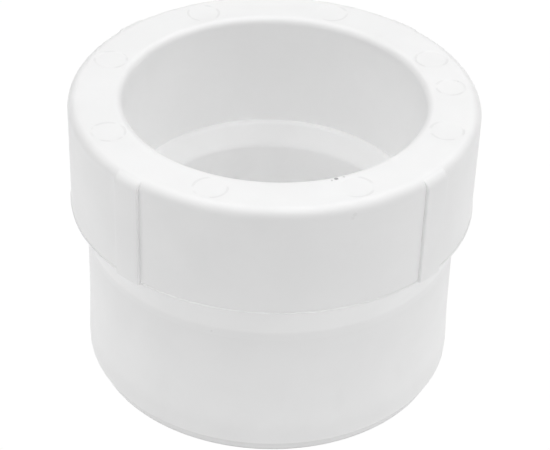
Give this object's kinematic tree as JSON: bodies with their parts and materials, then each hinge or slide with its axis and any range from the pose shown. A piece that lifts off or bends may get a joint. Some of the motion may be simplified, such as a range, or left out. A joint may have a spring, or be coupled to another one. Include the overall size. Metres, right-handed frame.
{
  "type": "reducing coupling",
  "caption": "White plastic reducing coupling for socket fusion: a thick-walled socket with raised alignment ribs, a tapered shoulder and a spigot of the next larger pipe size.",
  "frame": {"origin": "centre of the spigot's end face", "axes": "+Z along the pipe axis, from the spigot's end to the socket's mouth; the ribs stand at 45 degrees to X and Y"},
  "size_m": [0.12, 0.12, 0.0891],
  "materials": {
    "white_polypropylene": "satin"
  },
  "bodies": {
    "root": {"socket_collar": "white_polypropylene", "tapered_shoulder": "white_polypropylene", "pipe_stop": "white_polypropylene", "spigot": "white_polypropylene", "alignment_rib_1": "white_polypropylene", "alignment_rib_2": "white_polypropylene", "alignment_rib_3": "white_polypropylene", "alignment_rib_4": "white_polypropylene"}
  },
  "joints": []
}
